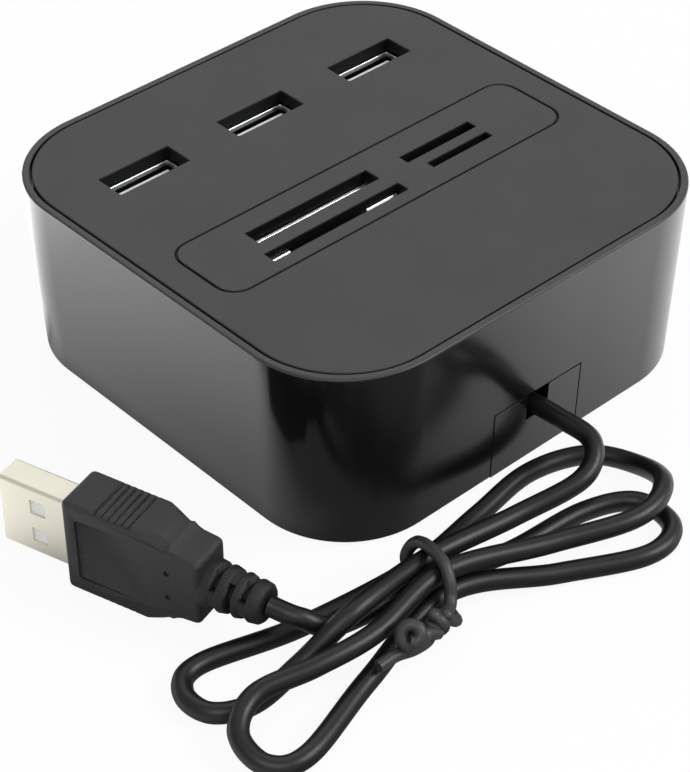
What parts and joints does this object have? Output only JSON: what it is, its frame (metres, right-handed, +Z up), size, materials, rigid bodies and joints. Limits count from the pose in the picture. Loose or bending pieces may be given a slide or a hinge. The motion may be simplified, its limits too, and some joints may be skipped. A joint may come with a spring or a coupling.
{
  "type": "usb hub and card reader combo",
  "caption": "Square desktop hub with upright ports and card slots in its top, a gloss tapered housing and a captive cord tied in a bundle, ending in a plug.",
  "frame": {"origin": "on the floor under the centre of the square housing, which rests on its four feet", "axes": "+Z up out of the ports and slots; the cord leaves through the -Y wall; the row of ports is on the +Y side, along X"},
  "size_m": [0.112, 0.1075, 0.0314],
  "materials": {
    "gloss_housing": "high gloss, moulded",
    "satin_plate": "fine spark-eroded texture",
    "base_plastic": "gloss on the tab, plain below",
    "zinc_screw": "zinc plated",
    "foot_rubber": "soft rubber",
    "circuit_board": "solder mask",
    "bright_sheet": "tinned sheet",
    "dull_sheet": "dull sheet",
    "white_plastic": "white moulding",
    "contact_metal": "gold flashed",
    "socket_plastic": "black moulding",
    "chip_resin": "moulded resin",
    "capacitor_sleeve": "shrunk sleeve",
    "wire_insulation": "thin insulation",
    "cord_jacket": "satin flexible jacket",
    "tie_plastic": "coated wire",
    "grip_plastic": "textured overmould",
    "plug_metal": "warm nickel"
  },
  "bodies": {
    "root": {"outer_shell": "gloss_housing", "top_plate": "satin_plate", "base_cover": "base_plastic", "base_screws": "zinc_screw", "foot_1": "foot_rubber", "foot_2": "foot_rubber", "foot_3": "foot_rubber", "foot_4": "foot_rubber", "main_board": "circuit_board", "board_screws": "zinc_screw", "port_board": "circuit_board", "reader_board": "circuit_board", "port_shell_1": "bright_sheet", "port_shell_2": "bright_sheet", "port_shell_3": "bright_sheet", "port_tongue_1": "white_plastic", "port_tongue_2": "white_plastic", "port_tongue_3": "white_plastic", "port_contacts_1": "contact_metal", "port_contacts_2": "contact_metal", "port_contacts_3": "contact_metal", "wide_socket": "socket_plastic", "wide_socket_cover": "bright_sheet", "wide_socket_divider": "bright_sheet", "wide_contacts": "contact_metal", "narrow_socket": "socket_plastic", "narrow_socket_cover": "dull_sheet", "narrow_contacts": "contact_metal", "hub_chip": "chip_resin", "reader_chip": "chip_resin", "crystal": "bright_sheet", "capacitors": "capacitor_sleeve", "cord_clamp": "grip_plastic", "cord_wires": "wire_insulation", "cord": "cord_jacket", "cord_tie": "tie_plastic", "plug_grip": "grip_plastic", "plug_shell": "plug_metal", "plug_insert": "white_plastic", "plug_contacts": "contact_metal"}
  },
  "joints": []
}
